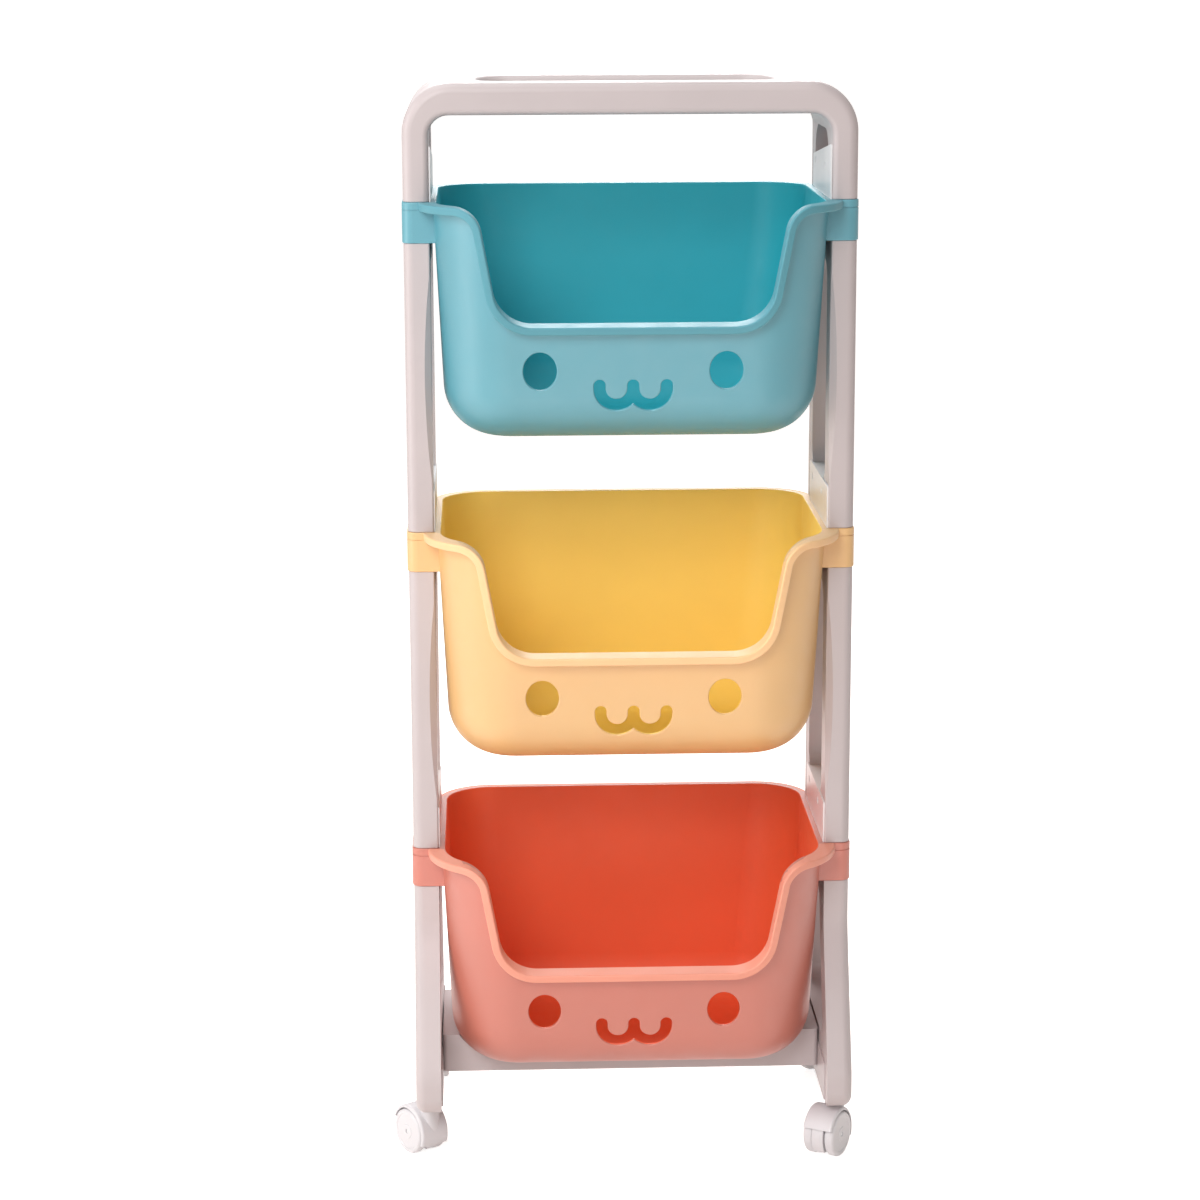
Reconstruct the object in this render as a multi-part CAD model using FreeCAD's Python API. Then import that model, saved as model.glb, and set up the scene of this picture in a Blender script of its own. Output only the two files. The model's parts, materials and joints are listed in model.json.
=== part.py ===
import FreeCAD, Part
import math
import os

# Rolling storage cart for a child's room: three moulded baskets stacked between moulded side frames,
# a loop handle on top and four twin-wheel swivel casters below.
# Millimetres, +Z up, front towards -Y, floor at Z = 0. Pieces are made about the middle of the frame
# and then moved together, so that the origin lies under the middle of the whole cart.

# Frame as a whole
frame_width = 380.0
frame_depth = 168.0
post_width = 22.0
post_depth = 32.0
post_round = 8.0
post_inner_round = 1.5
tier_gap = 81.0
base_clearance = 31.0

# Fits shared by all pieces
fit_clearance = 0.3
hole_clearance = 0.2
overrun = 6.0
same_point = 0.01
edge_round_limit_share = 0.4

# Tenons of the white segments, which plug into pockets in the bands
tenon_width = 12.0
tenon_depth = 22.0
tenon_length = 13.0

# Baskets, measured down from the rim
basket_height = 198.0
basket_wall = 3.0
basket_side_gap = 3.0
basket_front_overhang = 60.0
basket_rear_overhang = 33.0
side_draft = math.radians(2.5)
front_draft = math.radians(9.0)
rear_draft = math.radians(7.0)
front_corner_round = 62.0
rear_corner_round = 44.0
floor_corner_round = 58.0
floor_edge_round = 45.0
rim_edge_round = 1.2

# Coloured side bands, part of each basket
band_height = 34.0
band_proud = 1.0
band_edge_round = 0.8
band_groove_drop = 6.0
band_groove_height = 0.8
band_groove_depth = 0.6

# Mouth cut into a basket's front wall, and the lip round it
mouth_rise = 101.0
mouth_side_margin = 54.0
mouth_lean = math.radians(10.0)
mouth_floor_round = 33.0
mouth_shoulder_round = 24.0
lip_projection = 12.0
lip_thickness = 6.8
lip_edge_round = 1.3
rear_rim_projection = 6.0
rear_rim_thickness = 4.0

# Holes in a basket's front wall, their heights measured up from the floor
round_hole_width = 28.0
round_hole_height = 32.0
round_hole_spacing_share = 0.47
round_hole_rise = 61.0
slot_arc_radius = 14.0
slot_stroke = 9.8
slot_prong = 2.5
slot_rise = 46.0
slot_cusp_round = 1.5
hole_edge_round = 1.0

# Loop handle
handle_rise = 98.0
handle_bar_height = 27.0
handle_bar_depth = 30.0
handle_outer_round = 42.0
handle_inner_round = 17.0
handle_inner_edge_round = 5.0
handle_slot_end = 64.0
handle_slot_round = 24.0
handle_slot_edge_round = 6.0
handle_window_round = 26.0

# Side segments
cross_bar_height = 34.0
cross_bar_width = 12.0
top_bar_height = 20.0
window_round = 18.0
edge_scoop_depth = 4.0
segment_edge_round = 1.0

# Side rails on the bands
rail_height = 36.0
rail_rear_height = 29.0
rail_front_height = 46.0
rail_lap = 1.2
rail_front_setback = 3.0
rail_rear_lap = 6.0
rail_round = 2.0
rail_screw_drop = 11.0
rail_screw_inset = 16.0

# Screws
screw_head_diameter = 6.4
screw_head_height = 2.4
screw_shank_diameter = 3.2
screw_length = 15.0
screw_head_sink = 1.2

# Leg frames
caster_height = 50.0
toe_reach = 46.0
toe_height = 33.0
toe_round = 14.0
toe_kick_drop = 40.0
toe_kick_round = 60.0
toe_brow_round = 40.0
toe_side_round = 12.0
leg_inner_round = 3.0
leg_web_rise = 2.0
leg_window_flare = 36.0
leg_window_foot_round = 12.0
leg_pad_proud = 1.2
leg_pad_rise = 20.5
leg_pad_overhang = 28.0

# Base tray, its heights measured from the lowest basket's floor
tray_setback = 23.0
tray_drop = 15.0
tray_saddle_depth = 19.0
tray_wall = 3.0
tray_round = 4.0
tray_end_round = 3.5
tray_basket_clearance = 2.0
tray_rib_spacing = 70.0
tray_rib_thickness = 2.4
tray_screw_spacing = 70.0
tray_screw_rise = 12.0

# Casters
caster_overhang = 6.0
caster_trail = 15.0
wheel_radius = 20.0
wheel_width = 9.0
wheel_tread_round = 2.5
wheel_dish_depth = 0.6
wheel_rim_width = 4.0
wheel_hub_radius = 6.0
wheel_gap = 0.4
wheel_guard_gap = 1.2
axle_radius = 2.0
axle_clearance = 0.3
hood_web_width = 10.4
hood_skin = 2.6
hood_edge_round = 2.2
hood_side_inset = 0.8
hood_floor_gap = 6.0
hood_cover_angle = 22.0
hood_neck_radius = 8.5
hood_top = 46.0
stem_radius = 4.0
stem_shank_radius = 3.0
stem_shank_length = 18.0
stem_collar_radius = 6.0
stem_tip_chamfer = 1.0
stem_clearance = 0.3
stem_length = 28.0
socket_wall = 2.2
socket_flange_radius = 8.5
socket_flange_height = 2.0
socket_end_gap = 2.0

# Heading of each caster: the direction that its wheels trail in, turned from +Y about +Z
caster_headings = {
    "front_left": 35.0,
    "front_right": 149.0,
    "rear_left": 0.0,
    "rear_right": -35.0,
}

# Places worked out from the sizes above
half_width = frame_width / 2
half_depth = frame_depth / 2
post_inner = half_width - post_width
post_middle = half_width - post_width / 2
post_row = half_depth - post_depth / 2
window_half = half_depth - post_depth
tier_names = ("bottom", "middle", "top")
tier_pitch = basket_height + tier_gap
lowest_floor = caster_height + base_clearance
lowest_band_top = lowest_floor + basket_height
band_tops = [lowest_band_top + tier_pitch * tier for tier in range(len(tier_names))]
handle_top = band_tops[-1] + handle_rise
plain_rail_heights = (rail_height, rail_height)
top_rail_heights = (rail_rear_height, rail_front_height)
rim_half_width = post_inner - basket_side_gap
rim_front = half_depth + basket_front_overhang
rim_rear = half_depth + basket_rear_overhang
mouth_depth = basket_height - mouth_rise
mouth_floor_half_width = rim_half_width - mouth_side_margin
round_hole_drop = basket_height - round_hole_rise
slot_drop = basket_height - slot_rise
handle_slot_half_length = half_width - handle_slot_end
leg_top = lowest_band_top - band_height
toe_top = caster_height + toe_height
toe_kick_start = leg_top - toe_kick_drop
tray_half_length = post_inner - leg_pad_proud
tray_half_depth = half_depth - tray_setback
tray_bottom = lowest_floor - tray_drop
tray_top = lowest_floor + tray_saddle_depth
tray_screw_height = tray_bottom + tray_screw_rise
leg_web_top = tray_top + leg_web_rise
leg_pad_top = tray_bottom + leg_pad_rise
leg_pad_half_depth = half_depth + leg_pad_overhang
caster_offset = half_depth + caster_overhang


def vector(x, y, z):
    return FreeCAD.Vector(x, y, z)


def plan_at(z):
    """Places a flat (x, y) point at height z."""
    return lambda point: vector(point.x, point.y, z)


def front_at(y):
    """Places a flat (x, z) point at depth y."""
    return lambda point: vector(point.x, y, point.y)


def side_at(x):
    """Places a flat (y, z) point at side x."""
    return lambda point: vector(x, point.x, point.y)


def rounded_wire(corners, place):
    """Closed wire through corners (u, v, radius), each rounded by a tangent arc."""
    points = [vector(u, v, 0) for u, v, radius in corners]
    stretches = []
    for index, (u, v, radius) in enumerate(corners):
        point = points[index]
        back = (points[index - 1] - point).normalize()
        ahead = (points[(index + 1) % len(points)] - point).normalize()
        half_angle = back.getAngle(ahead) / 2
        reach = radius / math.tan(half_angle)
        middle = (back + ahead).normalize()
        peak = point + middle * (radius / math.sin(half_angle) - radius)
        stretches.append((point + back * reach, peak, point + ahead * reach, radius))
    edges = []
    for index, (enter, peak, leave, radius) in enumerate(stretches):
        if radius > 0:
            edges.append(Part.Arc(place(enter), place(peak), place(leave)).toShape())
        following = stretches[(index + 1) % len(stretches)][0]
        if not leave.isEqual(following, same_point):
            edges.append(Part.LineSegment(place(leave), place(following)).toShape())
    return Part.Wire(edges)


def prism(corners, place, run):
    """Rounded outline swept along the vector run."""
    return Part.Face(rounded_wire(corners, place)).extrude(run)


def block(x_range, y_range, z_range):
    """Box between two limits on each axis."""
    size = [limits[1] - limits[0] for limits in (x_range, y_range, z_range)]
    return Part.makeBox(size[0], size[1], size[2], vector(x_range[0], y_range[0], z_range[0]))


def rod(radius, start, end):
    """Cylinder between two points."""
    return Part.makeCylinder(radius, (end - start).Length, start, end - start)


def mirrored(shape):
    """Copy of a right-hand piece for the left-hand side."""
    return shape.mirror(vector(0, 0, 0), vector(1, 0, 0))


def edges_where(shape, test):
    return [edge for edge in shape.Edges if test(edge.BoundBox)]


def edges_on(shape, *face_groups):
    """Edges whose middle lies on some face of every group."""

    def lies_on(edge, faces):
        middle = Part.Vertex(edge.valueAt((edge.FirstParameter + edge.LastParameter) / 2))
        return any(face.distToShape(middle)[0] < same_point for face in faces)

    return [edge for edge in shape.Edges if all(lies_on(edge, faces) for faces in face_groups)]


def thin_round(radius, wall):
    """Edge radius, held to what a thin wall has room for."""
    return min(radius, wall * edge_round_limit_share)


def rectangle(x_half, y_half, radius):
    """Corners of a centred rectangle with one corner radius."""
    signs = ((1, -1), (1, 1), (-1, 1), (-1, -1))
    return [(x_sign * x_half, y_sign * y_half, radius) for x_sign, y_sign in signs]


def tub_outline(drop, grow):
    """Plan outline of a basket's outside at a drop below the rim, grown outwards."""
    half = rim_half_width - drop * math.tan(side_draft) + grow
    front = -rim_front + drop * math.tan(front_draft) - grow
    rear = rim_rear - drop * math.tan(rear_draft) + grow
    down_share = drop / basket_height
    front_round = front_corner_round + (floor_corner_round - front_corner_round) * down_share + grow
    rear_round = rear_corner_round + (floor_corner_round - rear_corner_round) * down_share + grow
    right = [(half, front, front_round), (half, rear, rear_round)]
    left = [(-x, y, radius) for x, y, radius in reversed(right)]
    return right + left


def tub_solid(rim_drop, floor_drop, grow, edge_round):
    """Solid tub with its rim at Z = -rim_drop and a rounded edge round its floor."""
    rim = rounded_wire(tub_outline(rim_drop, grow), plan_at(-rim_drop))
    floor = rounded_wire(tub_outline(floor_drop, grow), plan_at(-floor_drop))
    tub = Part.makeLoft([rim, floor], True, True)
    if edge_round > 0:
        floor_edges = edges_where(tub, lambda box: box.ZMax < -floor_drop + fit_clearance)
        tub = tub.makeFillet(edge_round, floor_edges)
    return tub


def mouth_corners(depth, margin):
    """Front outline of the mouth for a depth below the rim, set back into the wall by margin."""
    side = mouth_floor_half_width + margin / math.cos(mouth_lean)
    floor_half = side - margin * math.tan(mouth_lean)
    rim_half = side + (depth - margin) * math.tan(mouth_lean)
    floor_round = mouth_floor_round + margin
    shoulder_round = mouth_shoulder_round - margin
    right = [
        (floor_half, -depth - margin, floor_round),
        (rim_half, -margin, shoulder_round),
        (half_width, -margin, 0),
        (half_width, overrun, 0),
    ]
    left = [(-x, z, radius) for x, z, radius in reversed(right)]
    return right + left


def mouth_solid(margin):
    """Mouth through the front wall, whose floor falls forwards square to the leaning wall."""
    near = half_depth - overrun
    far = rim_front + lip_projection + overrun
    wall_at_floor = rim_front - mouth_depth * math.tan(front_draft)
    near_depth = mouth_depth - (wall_at_floor - near) * math.tan(front_draft)
    far_depth = mouth_depth + (far - wall_at_floor) * math.tan(front_draft)
    back = rounded_wire(mouth_corners(near_depth, margin), front_at(-near))
    face = rounded_wire(mouth_corners(far_depth, margin), front_at(-far))
    return Part.makeLoft([back, face], True, True)


def front_holes():
    """Two oval holes and a slot of two joined arcs, as one cutter through the front wall."""
    reach = vector(0, -rim_front, 0)
    oval = Part.Ellipse(vector(0, 0, 0), round_hole_height / 2, round_hole_width / 2).toShape()
    hole = Part.Face(Part.Wire(oval)).extrude(vector(0, 0, rim_front))
    hole.rotate(vector(0, 0, 0), vector(1, 0, 0), 90)
    hole.rotate(vector(0, 0, 0), vector(0, 1, 0), 90)
    cutters = []
    for side in (-1, 1):
        oval_hole = hole.copy()
        oval_hole.translate(vector(side * round_hole_spacing_share * rim_half_width, 0, -round_hole_drop))
        cutters.append(oval_hole)
        arc_middle = vector(side * slot_arc_radius, 0, -slot_drop)
        outer = rod(slot_arc_radius + slot_stroke / 2, arc_middle, arc_middle + reach)
        inner = rod(slot_arc_radius - slot_stroke / 2, arc_middle, arc_middle + reach)
        lower_half = block((-half_width, half_width), (-rim_front, 0), (-basket_height, -slot_drop))
        cutters.append(outer.cut(inner).common(lower_half))
    for step in (-1, 0, 1):
        prong_x = step * 2 * slot_arc_radius
        prong_top = -slot_drop + slot_prong
        prong_sides = (prong_x - slot_stroke / 2, prong_x + slot_stroke / 2)
        prong = block(prong_sides, (-rim_front, 0), (-slot_drop, prong_top))
        tip = vector(prong_x, 0, prong_top)
        cutters.append(prong.fuse(rod(slot_stroke / 2, tip, tip + reach)))
    cutter = cutters[0].multiFuse(cutters[1:]).removeSplitter()
    cusp = edges_where(
        cutter,
        lambda box: max(abs(box.XMin), abs(box.XMax)) < fit_clearance
        and box.YLength > overrun
        and box.ZMax < -slot_drop,
    )
    return cutter.makeFillet(slot_cusp_round, cusp)


def band_plan(grow):
    """Plan of the right-hand band from inside the tub's wall to its outer face."""
    inner = rim_half_width - basket_wall - overrun
    outer = half_width + band_proud + grow
    ends = half_depth + band_proud + grow
    rounding = post_round + band_proud + grow
    return [(inner, -ends, 0), (outer, -ends, rounding), (outer, ends, rounding), (inner, ends, 0)]


def band():
    """Right-hand band with rounded edges and the line round its upper edge."""
    body = prism(band_plan(0), plan_at(-band_height), vector(0, 0, band_height))
    rims = edges_where(body, lambda box: box.ZLength < fit_clearance and box.XMax > rim_half_width)
    body = body.makeFillet(band_edge_round, rims)
    groove_place = plan_at(-band_groove_drop - band_groove_height)
    groove_run = vector(0, 0, band_groove_height)
    groove = prism(band_plan(overrun), groove_place, groove_run)
    groove = groove.cut(prism(band_plan(-band_groove_depth), groove_place, groove_run))
    return body.cut(groove)


def tenon_pockets():
    """Room for the tenons that plug into a right-hand band from above and from below."""
    half_pocket = (tenon_width / 2 + fit_clearance, tenon_depth / 2 + fit_clearance)
    pocket_depth = tenon_length + fit_clearance
    pockets = []
    for row in (-post_row, post_row):
        x_range = (post_middle - half_pocket[0], post_middle + half_pocket[0])
        y_range = (row - half_pocket[1], row + half_pocket[1])
        pockets.append(block(x_range, y_range, (-pocket_depth, overrun)))
        pockets.append(block(x_range, y_range, (-band_height - overrun, -band_height + pocket_depth)))
    return pockets


def front_lip():
    """Strip that stands out round the mouth and along the shoulders, with rounded outer edges."""
    reach = tub_solid(0, basket_height, lip_projection, 0)
    above = mouth_solid(0)
    below = mouth_solid(lip_thickness)
    strip = below.common(reach).cut(above)
    sides = [face for face in reach.Faces if face.BoundBox.ZLength > lip_thickness]
    edges = edges_on(strip, sides, above.Faces + below.Faces)
    return strip.makeFillet(thin_round(lip_edge_round, lip_thickness), edges)


def rear_rim():
    """Narrow flange round the rear of the rim, from band to band, with rounded outer edges."""
    reach = tub_solid(0, rear_rim_thickness, rear_rim_projection, 0)
    far = rim_rear + rear_rim_projection + overrun
    behind = block((-half_width, half_width), (half_depth, far), (-basket_height, overrun))
    strip = reach.common(behind)
    sides = [face for face in reach.Faces if face.BoundBox.ZLength > fit_clearance]
    flats = [face for face in reach.Faces if face.BoundBox.ZLength < fit_clearance]
    return strip.makeFillet(thin_round(rim_edge_round, rear_rim_thickness), edges_on(strip, sides, flats))


def tub_room():
    """Room inside a basket, flared at the top so that the rim's inner edge comes out rounded."""
    room = tub_solid(0, basket_height - basket_wall, -basket_wall, floor_edge_round - basket_wall)
    air = block((-half_width, half_width), (-rim_front - overrun, rim_rear + overrun), (0, overrun))
    joined = room.fuse(air)
    floor_of_air = [face for face in air.Faces if face.BoundBox.ZMax < fit_clearance]
    rim = edges_on(joined, room.Faces, floor_of_air)
    return joined.makeFillet(thin_round(rim_edge_round, basket_wall), rim)


def basket():
    """One basket with its rim at Z = 0: tub, mouth, lip, rear rim, side bands and front holes."""
    outside = tub_solid(0, basket_height, 0, floor_edge_round)
    right_band = band()
    body = outside.multiFuse([front_lip(), rear_rim(), right_band, mirrored(right_band)])
    body = body.cut(tub_room())
    body = body.cut(mouth_solid(0))
    for pocket in tenon_pockets():
        body = body.cut(pocket).cut(mirrored(pocket))
    holes = front_holes()
    body = body.cut(holes).removeSplitter()
    hole_edges = edges_on(body, holes.Faces, outside.Faces)
    return body.makeFillet(thin_round(hole_edge_round, basket_wall), hole_edges)


def tenons(base_z, direction):
    """Tenons of one right-hand segment, from the height base_z up or down."""
    pegs = []
    for row in (-post_row, post_row):
        x_range = (post_middle - tenon_width / 2, post_middle + tenon_width / 2)
        y_range = (row - tenon_depth / 2, row + tenon_depth / 2)
        z_range = sorted((base_z, base_z + direction * tenon_length))
        pegs.append(block(x_range, y_range, z_range))
    return pegs


def rail_outline(base_z, heights, front, rear, grow):
    """Side outline of a rail from front to rear, whose top slopes between its two heights."""
    rear_height, front_height = heights
    face_front = -half_depth + rail_front_setback
    face_rear = window_half + rail_rear_lap
    slope = (rear_height - front_height) / (face_rear - face_front)
    front_top = base_z + front_height + slope * (front - face_front) + grow
    rear_top = base_z + front_height + slope * (rear - face_front) + grow
    foot = [(front, base_z - grow, 0), (rear, base_z - grow, 0)]
    return foot + [(rear, rear_top, rail_round), (front, front_top, rail_round)]


def rail_seat(base_z, heights):
    """Room for a side rail inside the foot of a right-hand segment."""
    start = post_inner - overrun
    outline = rail_outline(base_z, heights, -window_half, window_half, fit_clearance)
    return prism(outline, side_at(start), vector(half_width - cross_bar_width - start, 0, 0))


def screw_rows():
    """Depths of a rail's two screws."""
    return (-window_half + rail_screw_inset, window_half - rail_screw_inset)


def screw_z(base_z):
    return base_z + rail_height - rail_screw_drop


def pilot_holes(base_z):
    """Holes for the rail screws in the outer half of a right-hand segment's cross bar."""
    seat = post_inner - rail_lap + screw_head_sink + screw_head_height
    end = seat + screw_length + fit_clearance
    holes = []
    for row in screw_rows():
        start = vector(post_inner, row, screw_z(base_z))
        tip = vector(end, row, screw_z(base_z))
        holes.append(rod(screw_shank_diameter / 2 + hole_clearance, start, tip))
    return holes


def edge_scoops(low, high):
    """Long shallow scoops along the inner front and rear edges of a right-hand segment's posts."""
    half_height = (high - low) / 2
    radius = half_height ** 2 / (2 * edge_scoop_depth)
    scoops = []
    for end in (-1, 1):
        outward = vector(-1, end, 0).normalize()
        along = vector(end, 1, 0).normalize()
        edge = vector(post_inner, end * half_depth, (low + high) / 2)
        middle = edge + outward * (radius - edge_scoop_depth)
        scoops.append(rod(radius, middle - along * post_depth, middle + along * post_depth))
    return scoops


def side_panel(low, high):
    """Right-hand side segment between two bands: two posts, a cross bar below and a bar above."""
    plan = [
        (post_inner, -half_depth, post_inner_round),
        (half_width, -half_depth, post_round),
        (half_width, half_depth, post_round),
        (post_inner, half_depth, post_inner_round),
    ]
    body = prism(plan, plan_at(low), vector(0, 0, high - low))
    body = body.makeFillet(segment_edge_round, edges_where(body, lambda box: box.ZLength < fit_clearance))
    window = [
        (-window_half, low + cross_bar_height, window_round),
        (window_half, low + cross_bar_height, window_round),
        (window_half, high - top_bar_height, window_round),
        (-window_half, high - top_bar_height, window_round),
    ]
    body = body.cut(prism(window, side_at(post_inner - overrun), vector(post_width + 2 * overrun, 0, 0)))
    body = body.cut(rail_seat(low, plain_rail_heights))
    for cutter in edge_scoops(low + rail_height, high - top_bar_height) + pilot_holes(low):
        body = body.cut(cutter)
    return body.multiFuse(tenons(low, -1) + tenons(high, 1))


def side_rail(base_z, heights):
    """Right-hand rail: a thin face that laps the posts and a thicker body between them."""
    face_front = -half_depth + rail_front_setback
    face_rear = window_half + rail_rear_lap
    face_x = post_inner - rail_lap
    face_outline = rail_outline(base_z, heights, face_front, face_rear, 0)
    face = prism(face_outline, side_at(face_x), vector(rail_lap, 0, 0))
    body_end = window_half - fit_clearance
    body_width = post_width - cross_bar_width - fit_clearance
    body_outline = rail_outline(base_z, heights, -body_end, body_end, 0)
    body = prism(body_outline, side_at(post_inner), vector(body_width, 0, 0))
    rail = face.fuse(body)
    seat = face_x + screw_head_sink + screw_head_height
    for row in screw_rows():
        centre = vector(face_x - overrun, row, screw_z(base_z))
        floor = vector(seat, row, screw_z(base_z))
        back = vector(half_width, row, screw_z(base_z))
        rail = rail.cut(rod(screw_head_diameter / 2 + hole_clearance, centre, floor))
        rail = rail.cut(rod(screw_shank_diameter / 2 + hole_clearance, floor, back))
    return rail


def screw(seat, direction):
    """Screw whose head stands on seat and whose shank runs along direction."""
    head = rod(screw_head_diameter / 2, seat - direction * screw_head_height, seat)
    shank = rod(screw_shank_diameter / 2, seat, seat + direction * screw_length)
    return head.fuse(shank)


def rail_screws():
    """All rail screws, both sides and all tiers."""
    seat_x = post_inner - rail_lap + screw_head_sink + screw_head_height
    screws = []
    for band_top in band_tops:
        for row in screw_rows():
            right = screw(vector(seat_x, row, screw_z(band_top)), vector(1, 0, 0))
            screws += [right, mirrored(right)]
    return Part.makeCompound(screws)


def top_handle():
    """Loop handle: two bars on four posts, joined by shoulders round a long hand slot."""
    low = band_tops[-1]
    bar_bottom = handle_top - handle_bar_height
    arch = [
        (-half_width, low, 0),
        (half_width, low, 0),
        (half_width, handle_top, handle_outer_round),
        (-half_width, handle_top, handle_outer_round),
    ]
    opening = [
        (-post_inner, low - overrun, 0),
        (post_inner, low - overrun, 0),
        (post_inner, bar_bottom, handle_inner_round),
        (-post_inner, bar_bottom, handle_inner_round),
    ]
    depth_run = vector(0, frame_depth, 0)
    body = prism(arch, front_at(-half_depth), depth_run)
    outer_edges = edges_where(
        body,
        lambda box: box.YLength < fit_clearance and box.ZMax > low + fit_clearance,
    )
    body = body.makeFillet(post_round, outer_edges)
    body = body.cut(prism(opening, front_at(-half_depth), depth_run))
    inner_edges = edges_where(
        body,
        lambda box: box.YLength < fit_clearance
        and abs(abs(box.YMin) - half_depth) < fit_clearance
        and box.ZMax > low + fit_clearance
        and box.ZMax < bar_bottom + fit_clearance
        and max(abs(box.XMin), abs(box.XMax)) < post_inner + fit_clearance,
    )
    body = body.makeFillet(handle_inner_edge_round, inner_edges)
    foot_edges = edges_where(body, lambda box: box.ZMax < low + fit_clearance)
    body = body.makeFillet(segment_edge_round, foot_edges)
    slot = rectangle(handle_slot_half_length, half_depth - handle_bar_depth, handle_slot_round)
    body = body.cut(prism(slot, plan_at(low), vector(0, 0, handle_rise + overrun)))
    slot_edges = edges_where(
        body,
        lambda box: box.ZLength < fit_clearance
        and box.ZMax > handle_top - fit_clearance
        and max(abs(box.XMin), abs(box.XMax)) < handle_slot_half_length + fit_clearance
        and max(abs(box.YMin), abs(box.YMax)) < half_depth - handle_bar_depth + fit_clearance,
    )
    body = body.makeFillet(handle_slot_edge_round, slot_edges)
    window_top = handle_top - handle_outer_round
    window = [
        (-window_half, low + rail_rear_height, 0),
        (window_half, low + rail_rear_height, 0),
        (window_half, window_top, handle_window_round),
        (-window_half, window_top, handle_window_round),
    ]
    side_run = vector(post_width + 2 * overrun, 0, 0)
    right_cut = prism(window, side_at(post_inner - overrun), side_run).multiFuse(
        [rail_seat(low, top_rail_heights)] + pilot_holes(low)
    )
    body = body.cut(right_cut).cut(mirrored(right_cut))
    pegs = tenons(low, -1)
    return body.multiFuse(pegs + [mirrored(peg) for peg in pegs])


def leg_frame():
    """Right-hand lowest segment: two legs that kick out to toes, a deep web and an open window."""
    front_half = [
        (-half_depth, leg_top, 0),
        (-half_depth, toe_kick_start, toe_kick_round),
        (-half_depth - toe_reach, toe_top, toe_brow_round),
        (-half_depth - toe_reach, caster_height, toe_round),
    ]
    outline = front_half + [(-y, z, radius) for y, z, radius in reversed(front_half)]
    body = prism(outline, side_at(post_inner), vector(post_width, 0, 0))
    outer_edges = edges_where(
        body,
        lambda box: box.XMin > half_width - fit_clearance
        and box.ZMax > caster_height + fit_clearance
        and box.ZMin < leg_top - fit_clearance,
    )
    body = body.makeFillet(post_round, outer_edges)
    front_view = [
        (post_inner, caster_height, leg_inner_round),
        (half_width, caster_height, toe_side_round),
        (half_width, leg_top, 0),
        (post_inner, leg_top, 0),
    ]
    depth_run = vector(0, frame_depth + 4 * toe_reach, 0)
    body = body.common(prism(front_view, front_at(-half_depth - 2 * toe_reach), depth_run))
    head_edges = edges_where(body, lambda box: box.ZMin > leg_top - fit_clearance)
    body = body.makeFillet(segment_edge_round, head_edges)
    window_top = leg_top - top_bar_height
    right_half = [
        (window_half + leg_window_flare, leg_web_top, leg_window_foot_round),
        (window_half, toe_kick_start, toe_kick_round),
        (window_half, window_top, window_round),
    ]
    window = right_half + [(-y, z, radius) for y, z, radius in reversed(right_half)]
    body = body.cut(prism(window, side_at(post_inner - overrun), vector(post_width + 2 * overrun, 0, 0)))
    pad_height = (caster_height + leg_inner_round, leg_pad_top)
    pad_depth = (-leg_pad_half_depth, leg_pad_half_depth)
    body = body.fuse(block((post_inner - leg_pad_proud, post_inner), pad_depth, pad_height))
    for end in (-1, 1):
        foot = vector(post_middle, end * caster_offset, caster_height - overrun)
        bore_radius = stem_radius + stem_clearance + socket_wall + hole_clearance
        bore_top = vector(post_middle, end * caster_offset, socket_top() + hole_clearance)
        body = body.cut(rod(bore_radius, foot, bore_top))
        screw_row = end * tray_screw_spacing / 2
        start = vector(post_inner - overrun, screw_row, tray_screw_height)
        tip = tray_half_length - tray_wall + screw_length + fit_clearance
        body = body.cut(
            rod(screw_shank_diameter / 2 + hole_clearance, start, vector(tip, screw_row, tray_screw_height))
        )
    return body.multiFuse(tenons(leg_top, 1))


def tray_end_fillets():
    """Concave fillets under the tray's ends, where it runs down into the leg frames."""
    low = tray_bottom - tray_end_round
    flat_half = tray_half_depth - tray_round
    corner = block(
        (tray_half_length - tray_end_round, tray_half_length),
        (-flat_half, flat_half),
        (low, tray_bottom),
    )
    hollow_start = vector(tray_half_length - tray_end_round, -tray_half_depth, low)
    hollow_end = vector(tray_half_length - tray_end_round, tray_half_depth, low)
    right = corner.cut(rod(tray_end_round, hollow_start, hollow_end))
    return [right, mirrored(right)]


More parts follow.
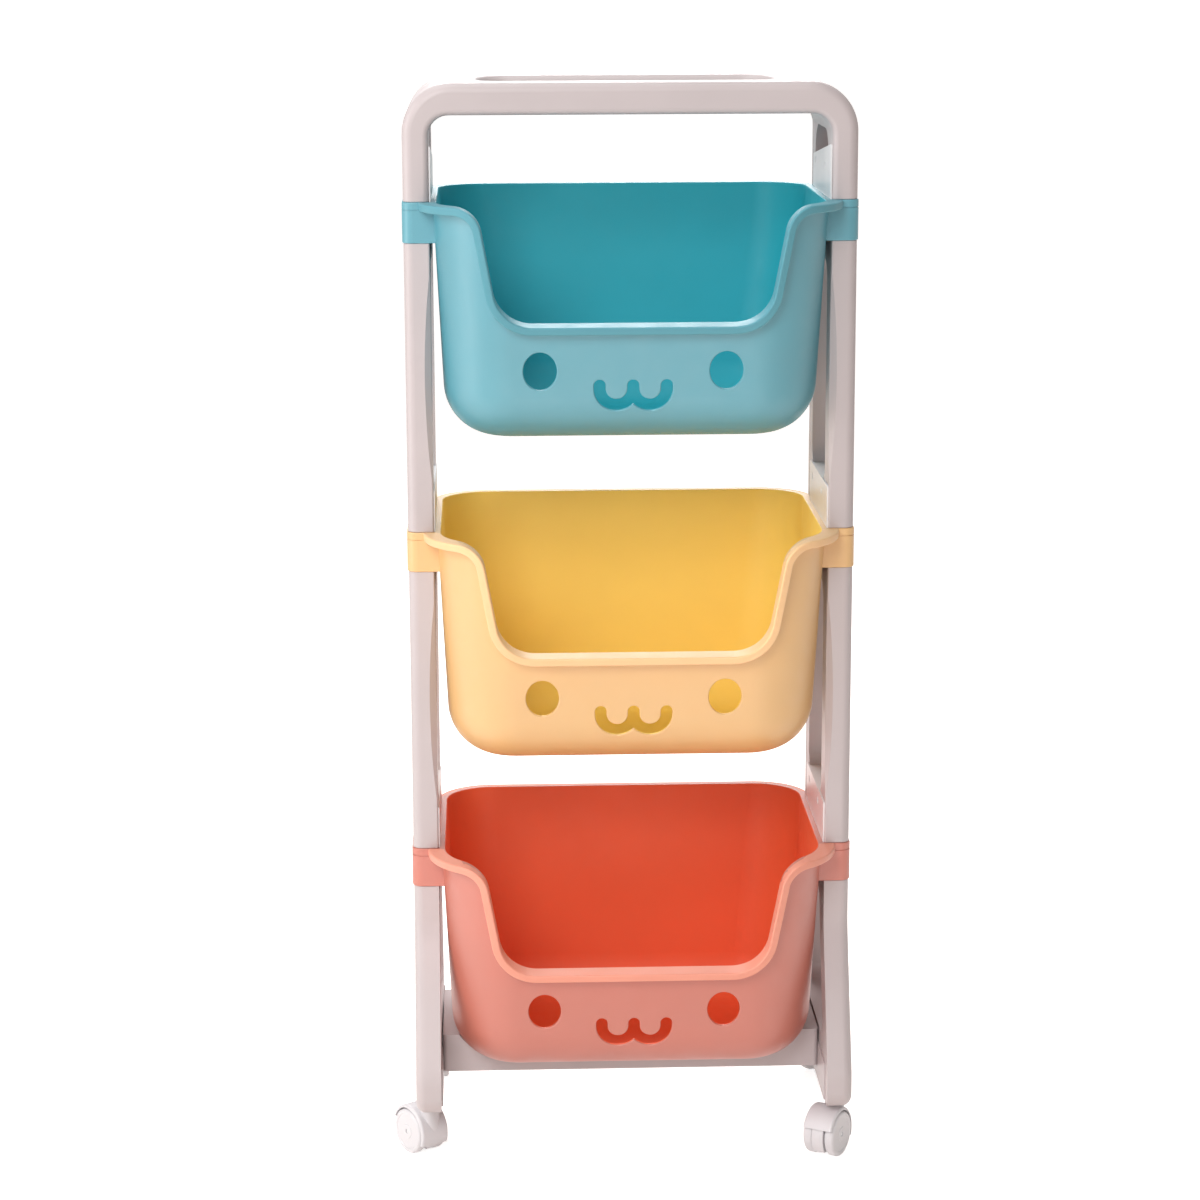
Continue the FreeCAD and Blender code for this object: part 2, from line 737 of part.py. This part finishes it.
def base_tray():
    """Cross tray between the leg frames: an upturned shell with ribs and a saddle for the bottom basket."""
    saddle_margin = tray_basket_clearance
    hollow_margin = tray_basket_clearance + tray_wall

    def basket_room(margin):
        room = tub_solid(0, basket_height + margin, margin, floor_edge_round + margin)
        room.translate(vector(0, 0, lowest_band_top))
        return room

    up = vector(0, 0, tray_top - tray_bottom)
    body = prism(rectangle(tray_half_length, tray_half_depth, tray_round), plan_at(tray_bottom), up)
    body = body.cut(basket_room(saddle_margin))
    hollow_run = vector(0, 0, tray_top - tray_wall - tray_bottom + overrun)
    inner_half = (tray_half_length - tray_wall, tray_half_depth - tray_wall)
    inner_plan = rectangle(inner_half[0], inner_half[1], tray_round - tray_wall / 2)
    hollow = prism(inner_plan, plan_at(tray_bottom - overrun), hollow_run).cut(basket_room(hollow_margin))
    rib_count = int(tray_half_length / tray_rib_spacing)
    for step in range(-rib_count, rib_count + 1):
        rib_x = step * tray_rib_spacing
        rib = block(
            (rib_x - tray_rib_thickness / 2, rib_x + tray_rib_thickness / 2),
            (-tray_half_depth, tray_half_depth),
            (tray_bottom + tray_wall, tray_top),
        )
        hollow = hollow.cut(rib)
    long_rib = block(
        (-post_inner, post_inner),
        (-tray_rib_thickness / 2, tray_rib_thickness / 2),
        (tray_bottom + tray_wall, tray_top),
    )
    body = body.cut(hollow.cut(long_rib)).multiFuse(tray_end_fillets())
    for end in (-1, 1):
        row = end * tray_screw_spacing / 2
        left_end = vector(-half_width, row, tray_screw_height)
        right_end = vector(half_width, row, tray_screw_height)
        inside = tray_half_length - tray_wall - overrun
        for start, stop in ((left_end, -inside), (right_end, inside)):
            hole_end = vector(stop, row, tray_screw_height)
            body = body.cut(rod(screw_shank_diameter / 2 + hole_clearance, start, hole_end))
    return body


def base_screws():
    """Screws through the tray's end walls into the leg frames."""
    screws = []
    for end in (-1, 1):
        seat = vector(tray_half_length - tray_wall, end * tray_screw_spacing / 2, tray_screw_height)
        right = screw(seat, vector(1, 0, 0))
        screws += [right, mirrored(right)]
    return Part.makeCompound(screws)


def socket_top():
    return hood_top + stem_collar_height() + stem_length + socket_end_gap


def stem_collar_height():
    return caster_height - socket_flange_height - stem_clearance - hood_top


def caster_socket():
    """Flanged bush that holds a caster's stem in the leg frame."""
    bore = stem_radius + stem_clearance
    outside = rod(bore + socket_wall, vector(0, 0, caster_height), vector(0, 0, socket_top()))
    flange_bottom = caster_height - socket_flange_height
    flange = rod(socket_flange_radius, vector(0, 0, flange_bottom), vector(0, 0, caster_height))
    return outside.fuse(flange).cut(rod(bore, vector(0, 0, flange_bottom), vector(0, 0, socket_top())))


def caster_stem():
    """Stem with a collar that carries the load and a shank pressed into the hood."""
    collar_top = hood_top + stem_collar_height()
    shank = rod(stem_shank_radius, vector(0, 0, hood_top - stem_shank_length), vector(0, 0, hood_top))
    collar = rod(stem_collar_radius, vector(0, 0, hood_top), vector(0, 0, collar_top))
    pin = rod(stem_radius, vector(0, 0, collar_top), vector(0, 0, collar_top + stem_length))
    tip_edges = edges_where(pin, lambda box: box.ZMin > collar_top + stem_length - fit_clearance)
    pin = pin.makeChamfer(stem_tip_chamfer, tip_edges)
    return shank.multiFuse([collar, pin])


def wheel_inner_face():
    return hood_web_width / 2 + wheel_gap


def caster_hood():
    """Guard over both wheels with a web between them, a neck for the stem and a bore for the axle."""
    axle = vector(0, caster_trail, wheel_radius)
    guard_inside = wheel_radius + wheel_guard_gap
    guard_outside = guard_inside + hood_skin
    side = vector(wheel_inner_face() + wheel_width - hood_side_inset, 0, 0)
    web_side = vector(hood_web_width / 2, 0, 0)
    neck = rod(hood_neck_radius, vector(0, 0, wheel_radius), vector(0, 0, hood_top))
    guard = rod(guard_outside, axle - side, axle + side)
    guard_rims = edges_where(guard, lambda box: box.XLength < fit_clearance)
    guard = guard.makeFillet(hood_edge_round, guard_rims)
    reach = 2 * guard_outside
    below = block((-reach, reach), (-reach, reach), (-reach, 0))
    below.rotate(vector(0, 0, 0), vector(1, 0, 0), hood_cover_angle)
    below.translate(axle)
    guard = guard.cut(below)
    web = rod(guard_inside, axle - web_side, axle + web_side)
    floor_cut = block((-reach, reach), (-reach, reach), (-reach, hood_floor_gap))
    web = web.cut(floor_cut)
    body = guard.multiFuse([neck, web])
    for end in (-1, 1):
        inner = axle + web_side * end
        body = body.cut(rod(guard_inside, inner, inner + side * 2 * end))
    body = body.cut(rod(axle_radius + axle_clearance, axle - side, axle + side))
    shank_floor = vector(0, 0, hood_top - stem_shank_length - hole_clearance)
    return body.cut(rod(stem_shank_radius + hole_clearance, shank_floor, vector(0, 0, hood_top)))


def caster_axle():
    """Plain axle for both wheels."""
    reach = vector(wheel_inner_face() + wheel_width - wheel_dish_depth, 0, 0)
    axle = vector(0, caster_trail, wheel_radius)
    return rod(axle_radius, axle - reach, axle + reach)


def caster_wheel(end):
    """One wheel, turned about the axle: rounded tread, dished face and hub."""
    bore = axle_radius + hole_clearance / 2
    inner = wheel_inner_face()
    outer = inner + wheel_width
    dish = outer - wheel_dish_depth
    profile = [
        (inner, bore, 0),
        (outer, bore, 0),
        (outer, wheel_hub_radius, 0),
        (dish, wheel_hub_radius + wheel_dish_depth, 0),
        (dish, wheel_radius - wheel_rim_width - wheel_dish_depth, 0),
        (outer, wheel_radius - wheel_rim_width, 0),
        (outer, wheel_radius, wheel_tread_round),
        (inner, wheel_radius, wheel_tread_round),
    ]

    def place(point):
        return vector(end * point.x, caster_trail, wheel_radius + point.y)

    face = Part.Face(rounded_wire(profile, place))
    return face.revolve(vector(0, caster_trail, wheel_radius), vector(1, 0, 0), 360)


def caster_pieces(corner, heading):
    """All pieces of one caster, turned to its heading and set under its foot."""
    pieces = {
        "socket": caster_socket(),
        "stem": caster_stem(),
        "hood": caster_hood(),
        "axle": caster_axle(),
        "wheel_left": caster_wheel(-1),
        "wheel_right": caster_wheel(1),
    }
    side = -1 if corner.endswith("left") else 1
    end = -1 if corner.startswith("front") else 1
    placed = {}
    for name, shape in pieces.items():
        shape.rotate(vector(0, 0, 0), vector(0, 0, 1), heading)
        shape.translate(vector(side * post_middle, end * caster_offset, 0))
        placed["caster_" + corner + "_" + name] = shape
    return placed


def all_pieces():
    """Every piece of the cart by name."""
    pieces = {"top_handle": top_handle(), "base_tray": base_tray()}
    pieces["rail_screws"] = rail_screws()
    pieces["base_screws"] = base_screws()
    first_basket = basket()
    for name, band_top in zip(tier_names, band_tops):
        tier_basket = first_basket.copy()
        tier_basket.translate(vector(0, 0, band_top))
        pieces["basket_" + name] = tier_basket
        rail = side_rail(band_top, top_rail_heights if name == tier_names[-1] else plain_rail_heights)
        pieces["side_rail_" + name + "_right"] = rail
        pieces["side_rail_" + name + "_left"] = mirrored(rail)
    for name, band_top in zip(("lower", "upper"), band_tops):
        panel = side_panel(band_top, band_top + tier_pitch - band_height)
        pieces["side_panel_" + name + "_right"] = panel
        pieces["side_panel_" + name + "_left"] = mirrored(panel)
    leg = leg_frame()
    pieces["leg_frame_right"] = leg
    pieces["leg_frame_left"] = mirrored(leg)
    for corner, heading in caster_headings.items():
        pieces.update(caster_pieces(corner, heading))
    return pieces


def centred(pieces):
    """Moves all pieces together, so that the origin lies under the middle of their common outline."""
    outline = Part.makeCompound(list(pieces.values())).optimalBoundingBox()
    shift = vector(-outline.Center.x, -outline.Center.y, 0)
    for shape in pieces.values():
        shape.translate(shift)
    print("moved by", shift)
    return pieces


os.makedirs("parts", exist_ok=True)
for piece_name, piece_shape in centred(all_pieces()).items():
    piece_shape.exportStep("parts/" + piece_name + ".step")
    state = "valid" if piece_shape.isValid() else "NOT VALID"
    print(piece_name, len(piece_shape.Solids), state, piece_shape.Volume)
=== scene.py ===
"""Looks of a rolling storage cart with three moulded baskets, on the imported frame."""

import json
import math

import bpy
from mathutils import Matrix, Vector

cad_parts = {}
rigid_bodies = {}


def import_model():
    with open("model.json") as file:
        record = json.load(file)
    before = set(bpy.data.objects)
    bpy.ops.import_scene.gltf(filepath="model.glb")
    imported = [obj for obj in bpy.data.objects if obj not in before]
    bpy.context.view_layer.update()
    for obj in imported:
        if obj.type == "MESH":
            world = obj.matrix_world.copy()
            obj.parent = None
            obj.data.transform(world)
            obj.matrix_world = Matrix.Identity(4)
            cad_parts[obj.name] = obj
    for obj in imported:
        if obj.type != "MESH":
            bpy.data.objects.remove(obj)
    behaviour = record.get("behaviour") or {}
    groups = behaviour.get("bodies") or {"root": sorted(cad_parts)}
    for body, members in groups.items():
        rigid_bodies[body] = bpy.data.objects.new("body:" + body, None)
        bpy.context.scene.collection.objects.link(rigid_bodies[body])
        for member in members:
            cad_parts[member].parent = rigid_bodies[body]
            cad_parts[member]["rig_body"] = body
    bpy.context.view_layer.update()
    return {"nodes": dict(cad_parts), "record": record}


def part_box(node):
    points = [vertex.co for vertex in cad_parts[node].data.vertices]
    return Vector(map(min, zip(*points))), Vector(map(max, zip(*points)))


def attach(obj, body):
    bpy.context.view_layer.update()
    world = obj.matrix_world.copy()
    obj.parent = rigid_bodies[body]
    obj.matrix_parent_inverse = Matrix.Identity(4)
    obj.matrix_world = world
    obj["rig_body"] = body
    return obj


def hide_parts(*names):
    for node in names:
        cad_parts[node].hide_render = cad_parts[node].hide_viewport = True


# Camera, fitted to the photograph: place in metres, turns in radians, lens and sensor in millimetres
CAMERA_PLACE = (-0.1233, -2.6745, 1.0537)
CAMERA_YAW = 0.0370
CAMERA_PITCH = 0.2105
CAMERA_ROLL = -0.0035
CAMERA_LENS = 93.4
CAMERA_SENSOR = 36.0

# Colours, linear
FRAME_WHITE = (0.505, 0.444, 0.446)
RAIL_WHITE = (0.78, 0.76, 0.77)
CASTER_WHITE = (0.645, 0.625, 0.645)
# The insides are painted lighter and more saturated than the outsides of the same plastic: painted light
# that stands in for the light filling the tubs
# The lips and rims are painted lighter than the outsides of the same plastic: a painted highlight for the
# light they catch
BLUE_OUTSIDE = (0.078, 0.30, 0.368)
BLUE_LIP_PAINTED_HIGHLIGHT = (0.105, 0.315, 0.38)
BLUE_INSIDE_PAINTED_LIGHT = (0.021, 0.395, 0.475)
YELLOW_OUTSIDE = (0.715, 0.435, 0.177)
YELLOW_LIP_PAINTED_HIGHLIGHT = (0.88, 0.57, 0.305)
YELLOW_INSIDE_PAINTED_LIGHT = (0.98, 0.685, 0.155)
CORAL_OUTSIDE = (0.52, 0.155, 0.109)
CORAL_LIP_PAINTED_HIGHLIGHT = (0.79, 0.33, 0.24)
CORAL_INSIDE_PAINTED_LIGHT = (0.82, 0.137, 0.052)
STEEL = (0.55, 0.55, 0.56)

# Colours of each basket by its slot: outside, inside with painted light, and lip with a painted highlight
BASKETS = {
    "basket_blue": (BLUE_OUTSIDE, BLUE_INSIDE_PAINTED_LIGHT, BLUE_LIP_PAINTED_HIGHLIGHT),
    "basket_yellow": (YELLOW_OUTSIDE, YELLOW_INSIDE_PAINTED_LIGHT, YELLOW_LIP_PAINTED_HIGHLIGHT),
    "basket_coral": (CORAL_OUTSIDE, CORAL_INSIDE_PAINTED_LIGHT, CORAL_LIP_PAINTED_HIGHLIGHT),
}

# Finishes of the plastics: roughness, strength of the grain, gloss and share of light under the skin
FRAME_FINISH = (0.42, 0.12, 0.5, 0.0)
RAIL_FINISH = (0.34, 0.06, 0.5, 0.0)
CASTER_FINISH = (0.36, 0.06, 0.5, 0.0)
OUTSIDE_FINISH = (0.45, 0.12, 1.0, 0.2)
INSIDE_FINISH = (0.5, 0.08, 0.3, 0.0)
LIP_FINISH = (0.5, 0.06, 0.3, 0.2)
SKIN_REACH = (0.003, 0.003, 0.003)
SKIN_SCALE = 1.0
STEEL_ROUGHNESS = 0.3

# Noises of the finishes: scales in waves to the metre, and how far each moves a value
NOISE_DETAIL = 3
NOISE_LOW = 0.3
NOISE_HIGH = 0.7
DRIFT_SCALE = 11
DRIFT_SHARE = 0.02
DRIFT_LOW = 0.35
DRIFT_HIGH = 0.65
GLOSS_SCALE = 70
GLOSS_SPREAD = 0.04
GRAIN_SCALE = 1400
GRAIN_HEIGHT = 0.0002
STEEL_SHARE = 0.06
STEEL_SCALE = 900
STEEL_SPREAD = 0.08

# Outer surface of a basket's tub, in metres and radians, from the middle of its rear rim
TUB_HALF_WIDTH = 0.165
TUB_REAR = 0.006
TUB_FRONT = 0.267
TUB_SIDE_DRAFT = math.radians(2.5)
TUB_FRONT_DRAFT = math.radians(9.0)
TUB_REAR_DRAFT = math.radians(7.0)
TUB_HEIGHT = 0.198
TUB_FRONT_ROUND = 0.062
TUB_REAR_ROUND = 0.044
TUB_FLOOR_ROUND = 0.058

# Faces of a tub: depths where its inside (painted light) and its lip (painted highlight) start, the bands
# between the lips, and material indices
TUB_WALL = 0.0025
LIP_START = -0.001
BAND_HALF_DEPTH = 0.0852
BAND_MIDDLE = 0.00952
INSIDE_PAINTED_LIGHT_INDEX = 1
LIP_PAINTED_HIGHLIGHT_INDEX = 2

# Stage
WHITE = (1, 1, 1, 1)
FLOOR_SIZE = 120.0
FLOOR_WHITE = (0.9, 0.85, 0.81, 1)
FLOOR_ROUGHNESS = 0.9
FLOOR_SHOWN = 0.8
WORLD_LEVEL = 0.26
WORLD_WARM = (1.0, 0.9, 0.84, 1)

# Lamps: name, place, width and height in metres, watts, and the height of the point each looks at
LAMPS = (
    ("side", (-1.6, -0.55, 0.9), (0.6, 1.6), 14, 0.5),
    ("key", (-0.75, -2.25, 1.95), (0.9, 0.9), 23.5, 0.5),
    ("front", (-0.75, -2.7, 1.65), (1.3, 0.8), 15, 0.5),
    ("top", (-0.45, -0.2, 2.8), (1.5, 1.2), 22, 0.5),
    ("back", (0.0, 2.0, 2.2), (1.2, 1.0), 50, 0.5),
    ("low", (0.0, -1.15, 0.03), (1.2, 0.4), 3, 0.2),
)

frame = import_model()


# Camera

def add_camera():
    """The photograph's camera."""
    data = bpy.data.cameras.new("camera")
    data.sensor_width = CAMERA_SENSOR
    data.lens = CAMERA_LENS
    camera = bpy.data.objects.new("camera", data)
    bpy.context.scene.collection.objects.link(camera)
    turn = Matrix.Rotation(-CAMERA_YAW, 4, "Z") @ Matrix.Rotation(math.pi / 2 - CAMERA_PITCH, 4, "X")
    camera.matrix_world = Matrix.Translation(CAMERA_PLACE) @ turn @ Matrix.Rotation(CAMERA_ROLL, 4, "Z")
    bpy.context.scene.camera = camera


# Materials

def noise(tree, scale):
    """Noise fixed to the piece, as a value between 0 and 1."""
    place = tree.nodes.new("ShaderNodeTexCoord")
    texture = tree.nodes.new("ShaderNodeTexNoise")
    texture.inputs["Scale"].default_value = scale
    texture.inputs["Detail"].default_value = NOISE_DETAIL
    tree.links.new(place.outputs["Object"], texture.inputs["Vector"])
    return texture.outputs["Fac"]


def drift(tree, colour, share):
    """A colour that wanders slowly by a share of itself."""
    ramp = tree.nodes.new("ShaderNodeValToRGB")
    low, high = ramp.color_ramp.elements
    low.position = DRIFT_LOW
    high.position = DRIFT_HIGH
    low.color = (*[part * (1 - share) for part in colour], 1)
    high.color = (*[part * (1 + share) for part in colour], 1)
    tree.links.new(noise(tree, DRIFT_SCALE), ramp.inputs["Fac"])
    return ramp.outputs["Color"]


def uneven(tree, middle, spread, scale):
    """A value that wanders by the spread to both sides of its middle."""
    remap = tree.nodes.new("ShaderNodeMapRange")
    remap.inputs["From Min"].default_value = NOISE_LOW
    remap.inputs["From Max"].default_value = NOISE_HIGH
    remap.inputs["To Min"].default_value = middle - spread
    remap.inputs["To Max"].default_value = middle + spread
    tree.links.new(noise(tree, scale), remap.inputs["Value"])
    return remap.outputs["Result"]


def plastic(name, colour, finish):
    """Moulded plastic: a slow drift of colour, a fine moulded grain and an uneven gloss."""
    roughness, grain, gloss, under_skin = finish
    material = bpy.data.materials.new(name)
    material.use_nodes = True
    tree = material.node_tree
    shader = tree.nodes["Principled BSDF"]
    tree.links.new(drift(tree, colour, DRIFT_SHARE), shader.inputs["Base Color"])
    tree.links.new(uneven(tree, roughness, GLOSS_SPREAD, GLOSS_SCALE), shader.inputs["Roughness"])
    bump = tree.nodes.new("ShaderNodeBump")
    bump.inputs["Strength"].default_value = grain
    bump.inputs["Distance"].default_value = GRAIN_HEIGHT
    tree.links.new(noise(tree, GRAIN_SCALE), bump.inputs["Height"])
    tree.links.new(bump.outputs["Normal"], shader.inputs["Normal"])
    shader.inputs["Specular IOR Level"].default_value = gloss
    shader.inputs["Subsurface Weight"].default_value = under_skin
    shader.inputs["Subsurface Radius"].default_value = SKIN_REACH
    shader.inputs["Subsurface Scale"].default_value = SKIN_SCALE
    return material


def metal(name, colour, roughness):
    """Bright metal with a finely uneven gloss."""
    material = bpy.data.materials.new(name)
    material.use_nodes = True
    tree = material.node_tree
    shader = tree.nodes["Principled BSDF"]
    tree.links.new(drift(tree, colour, STEEL_SHARE), shader.inputs["Base Color"])
    tree.links.new(uneven(tree, roughness, STEEL_SPREAD, STEEL_SCALE), shader.inputs["Roughness"])
    shader.inputs["Metallic"].default_value = 1.0
    return material


def basket_plastics(basket):
    """The plastics of a basket's outside, inside and lip, in the order of the material indices; the inside
    carries painted light and the lip a painted highlight.
    """
    outside, inside, lip = BASKETS[basket]
    return [
        plastic(basket, outside, OUTSIDE_FINISH),
        plastic(basket + "_inside_painted_light", inside, INSIDE_FINISH),
        plastic(basket + "_lip_painted_highlight", lip, LIP_FINISH),
    ]


MATERIALS = {
    "frame_white": [plastic("frame_white", FRAME_WHITE, FRAME_FINISH)],
    "rail_white": [plastic("rail_white", RAIL_WHITE, RAIL_FINISH)],
    "caster_white": [plastic("caster_white", CASTER_WHITE, CASTER_FINISH)],
    "steel": [metal("steel", STEEL, STEEL_ROUGHNESS)],
}
for basket in BASKETS:
    MATERIALS[basket] = basket_plastics(basket)


# Pieces

def tub_depth(point, rim):
    """Depth of a point inside a tub's outer surface, seen from above; rim is the middle of its rear rim."""
    drop = rim.z - point.z
    half = TUB_HALF_WIDTH - drop * math.tan(TUB_SIDE_DRAFT)
    across = abs(point.x - rim.x)
    from_front = point.y - (rim.y - TUB_FRONT + drop * math.tan(TUB_FRONT_DRAFT))
    from_rear = rim.y - TUB_REAR - drop * math.tan(TUB_REAR_DRAFT) - point.y
    depth = half - across
    for along, rim_round in ((from_front, TUB_FRONT_ROUND), (from_rear, TUB_REAR_ROUND)):
        rounding = rim_round + (TUB_FLOOR_ROUND - rim_round) * drop / TUB_HEIGHT
        past = (across - half + rounding, rounding - along)
        if min(past) > 0:
            depth = min(depth, rounding - math.hypot(*past))
        else:
            depth = min(depth, along)
    return depth


def mark_tub(node, mesh):
    """Mark the walls and floor that look into the tub as inside, for its painted light, and its lip and rim
    as lip, for their painted highlight.
    """
    low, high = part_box(node)
    middle = (low + high) / 2
    rim = Vector((middle.x, high.y, high.z))
    for face in mesh.polygons:
        depth = tub_depth(face.center, rim)
        inward = (middle - face.center).dot(face.normal) > 0
        past_band = abs(face.center.y - BAND_MIDDLE) > BAND_HALF_DEPTH
        if inward and depth > TUB_WALL:
            face.material_index = INSIDE_PAINTED_LIGHT_INDEX
        elif past_band and depth < LIP_START:
            face.material_index = LIP_PAINTED_HIGHLIGHT_INDEX


def dressed(node, slot):
    """A finished copy of a CAD node with the materials of its slot."""
    mesh = frame["nodes"][node].data.copy()
    mesh.name = node + "_dressed"
    mesh.materials.clear()
    for material in MATERIALS[slot]:
        mesh.materials.append(material)
    if slot in BASKETS:
        mark_tub(node, mesh)
    piece = bpy.data.objects.new(node + "_dressed", mesh)
    bpy.context.scene.collection.objects.link(piece)
    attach(piece, frame["nodes"][node]["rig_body"])
    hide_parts(node)


# Lamps, floor and world

def area_light(name, place, size, power, target_height):
    """A soft lamp that looks at a point on the cart's upright axis."""
    data = bpy.data.lights.new(name, "AREA")
    data.shape = "RECTANGLE"
    data.size, data.size_y = size
    data.energy = power
    light = bpy.data.objects.new(name, data)
    bpy.context.scene.collection.objects.link(light)
    light.visible_camera = False
    light.location = place
    look = Vector((0, 0, target_height)) - Vector(place)
    light.rotation_euler = look.to_track_quat("-Z", "Y").to_euler()


def shown_rays(tree):
    """1 for the rays that see the stage: from the camera, a gloss or a see-through surface."""
    path = tree.nodes.new("ShaderNodeLightPath")
    value = path.outputs["Is Camera Ray"]
    for ray in ("Is Glossy Ray", "Is Transmission Ray"):
        either = tree.nodes.new("ShaderNodeMath")
        either.operation = "MAXIMUM"
        tree.links.new(value, either.inputs[0])
        tree.links.new(path.outputs[ray], either.inputs[1])
        value = either.outputs["Value"]
    return value


def add_floor():
    """A pale floor that shows white and keeps the cart's shadow."""
    bpy.ops.mesh.primitive_plane_add(size=FLOOR_SIZE, location=(0, 0, 0))
    floor = bpy.context.object
    floor.name = "floor"
    material = bpy.data.materials.new("floor")
    material.use_nodes = True
    tree = material.node_tree
    shader = tree.nodes["Principled BSDF"]
    shader.inputs["Base Color"].default_value = FLOOR_WHITE
    shader.inputs["Roughness"].default_value = FLOOR_ROUGHNESS
    shader.inputs["Emission Color"].default_value = WHITE
    shown = tree.nodes.new("ShaderNodeMath")
    shown.operation = "MULTIPLY"
    shown.inputs[1].default_value = FLOOR_SHOWN
    tree.links.new(shown_rays(tree), shown.inputs[0])
    tree.links.new(shown.outputs["Value"], shader.inputs["Emission Strength"])
    floor.data.materials.append(material)


def add_world():
    """A world that shows white and lights the cart with a warm, even level."""
    world = bpy.data.worlds.new("studio")
    bpy.context.scene.world = world
    world.use_nodes = True
    tree = world.node_tree
    ambient = tree.nodes["Background"]
    ambient.inputs["Color"].default_value = WORLD_WARM
    ambient.inputs["Strength"].default_value = WORLD_LEVEL
    seen = tree.nodes.new("ShaderNodeBackground")
    seen.inputs["Color"].default_value = WHITE
    either = tree.nodes.new("ShaderNodeMixShader")
    tree.links.new(shown_rays(tree), either.inputs["Fac"])
    tree.links.new(ambient.outputs["Background"], either.inputs[1])
    tree.links.new(seen.outputs["Background"], either.inputs[2])
    tree.links.new(either.outputs["Shader"], tree.nodes["World Output"].inputs["Surface"])


# Scene

add_camera()
for part in frame["record"]["subparts"]:
    dressed(part["node"], part["material_slot"])
add_floor()
add_world()
for lamp in LAMPS:
    area_light(*lamp)
bpy.context.scene.view_settings.view_transform = "Standard"
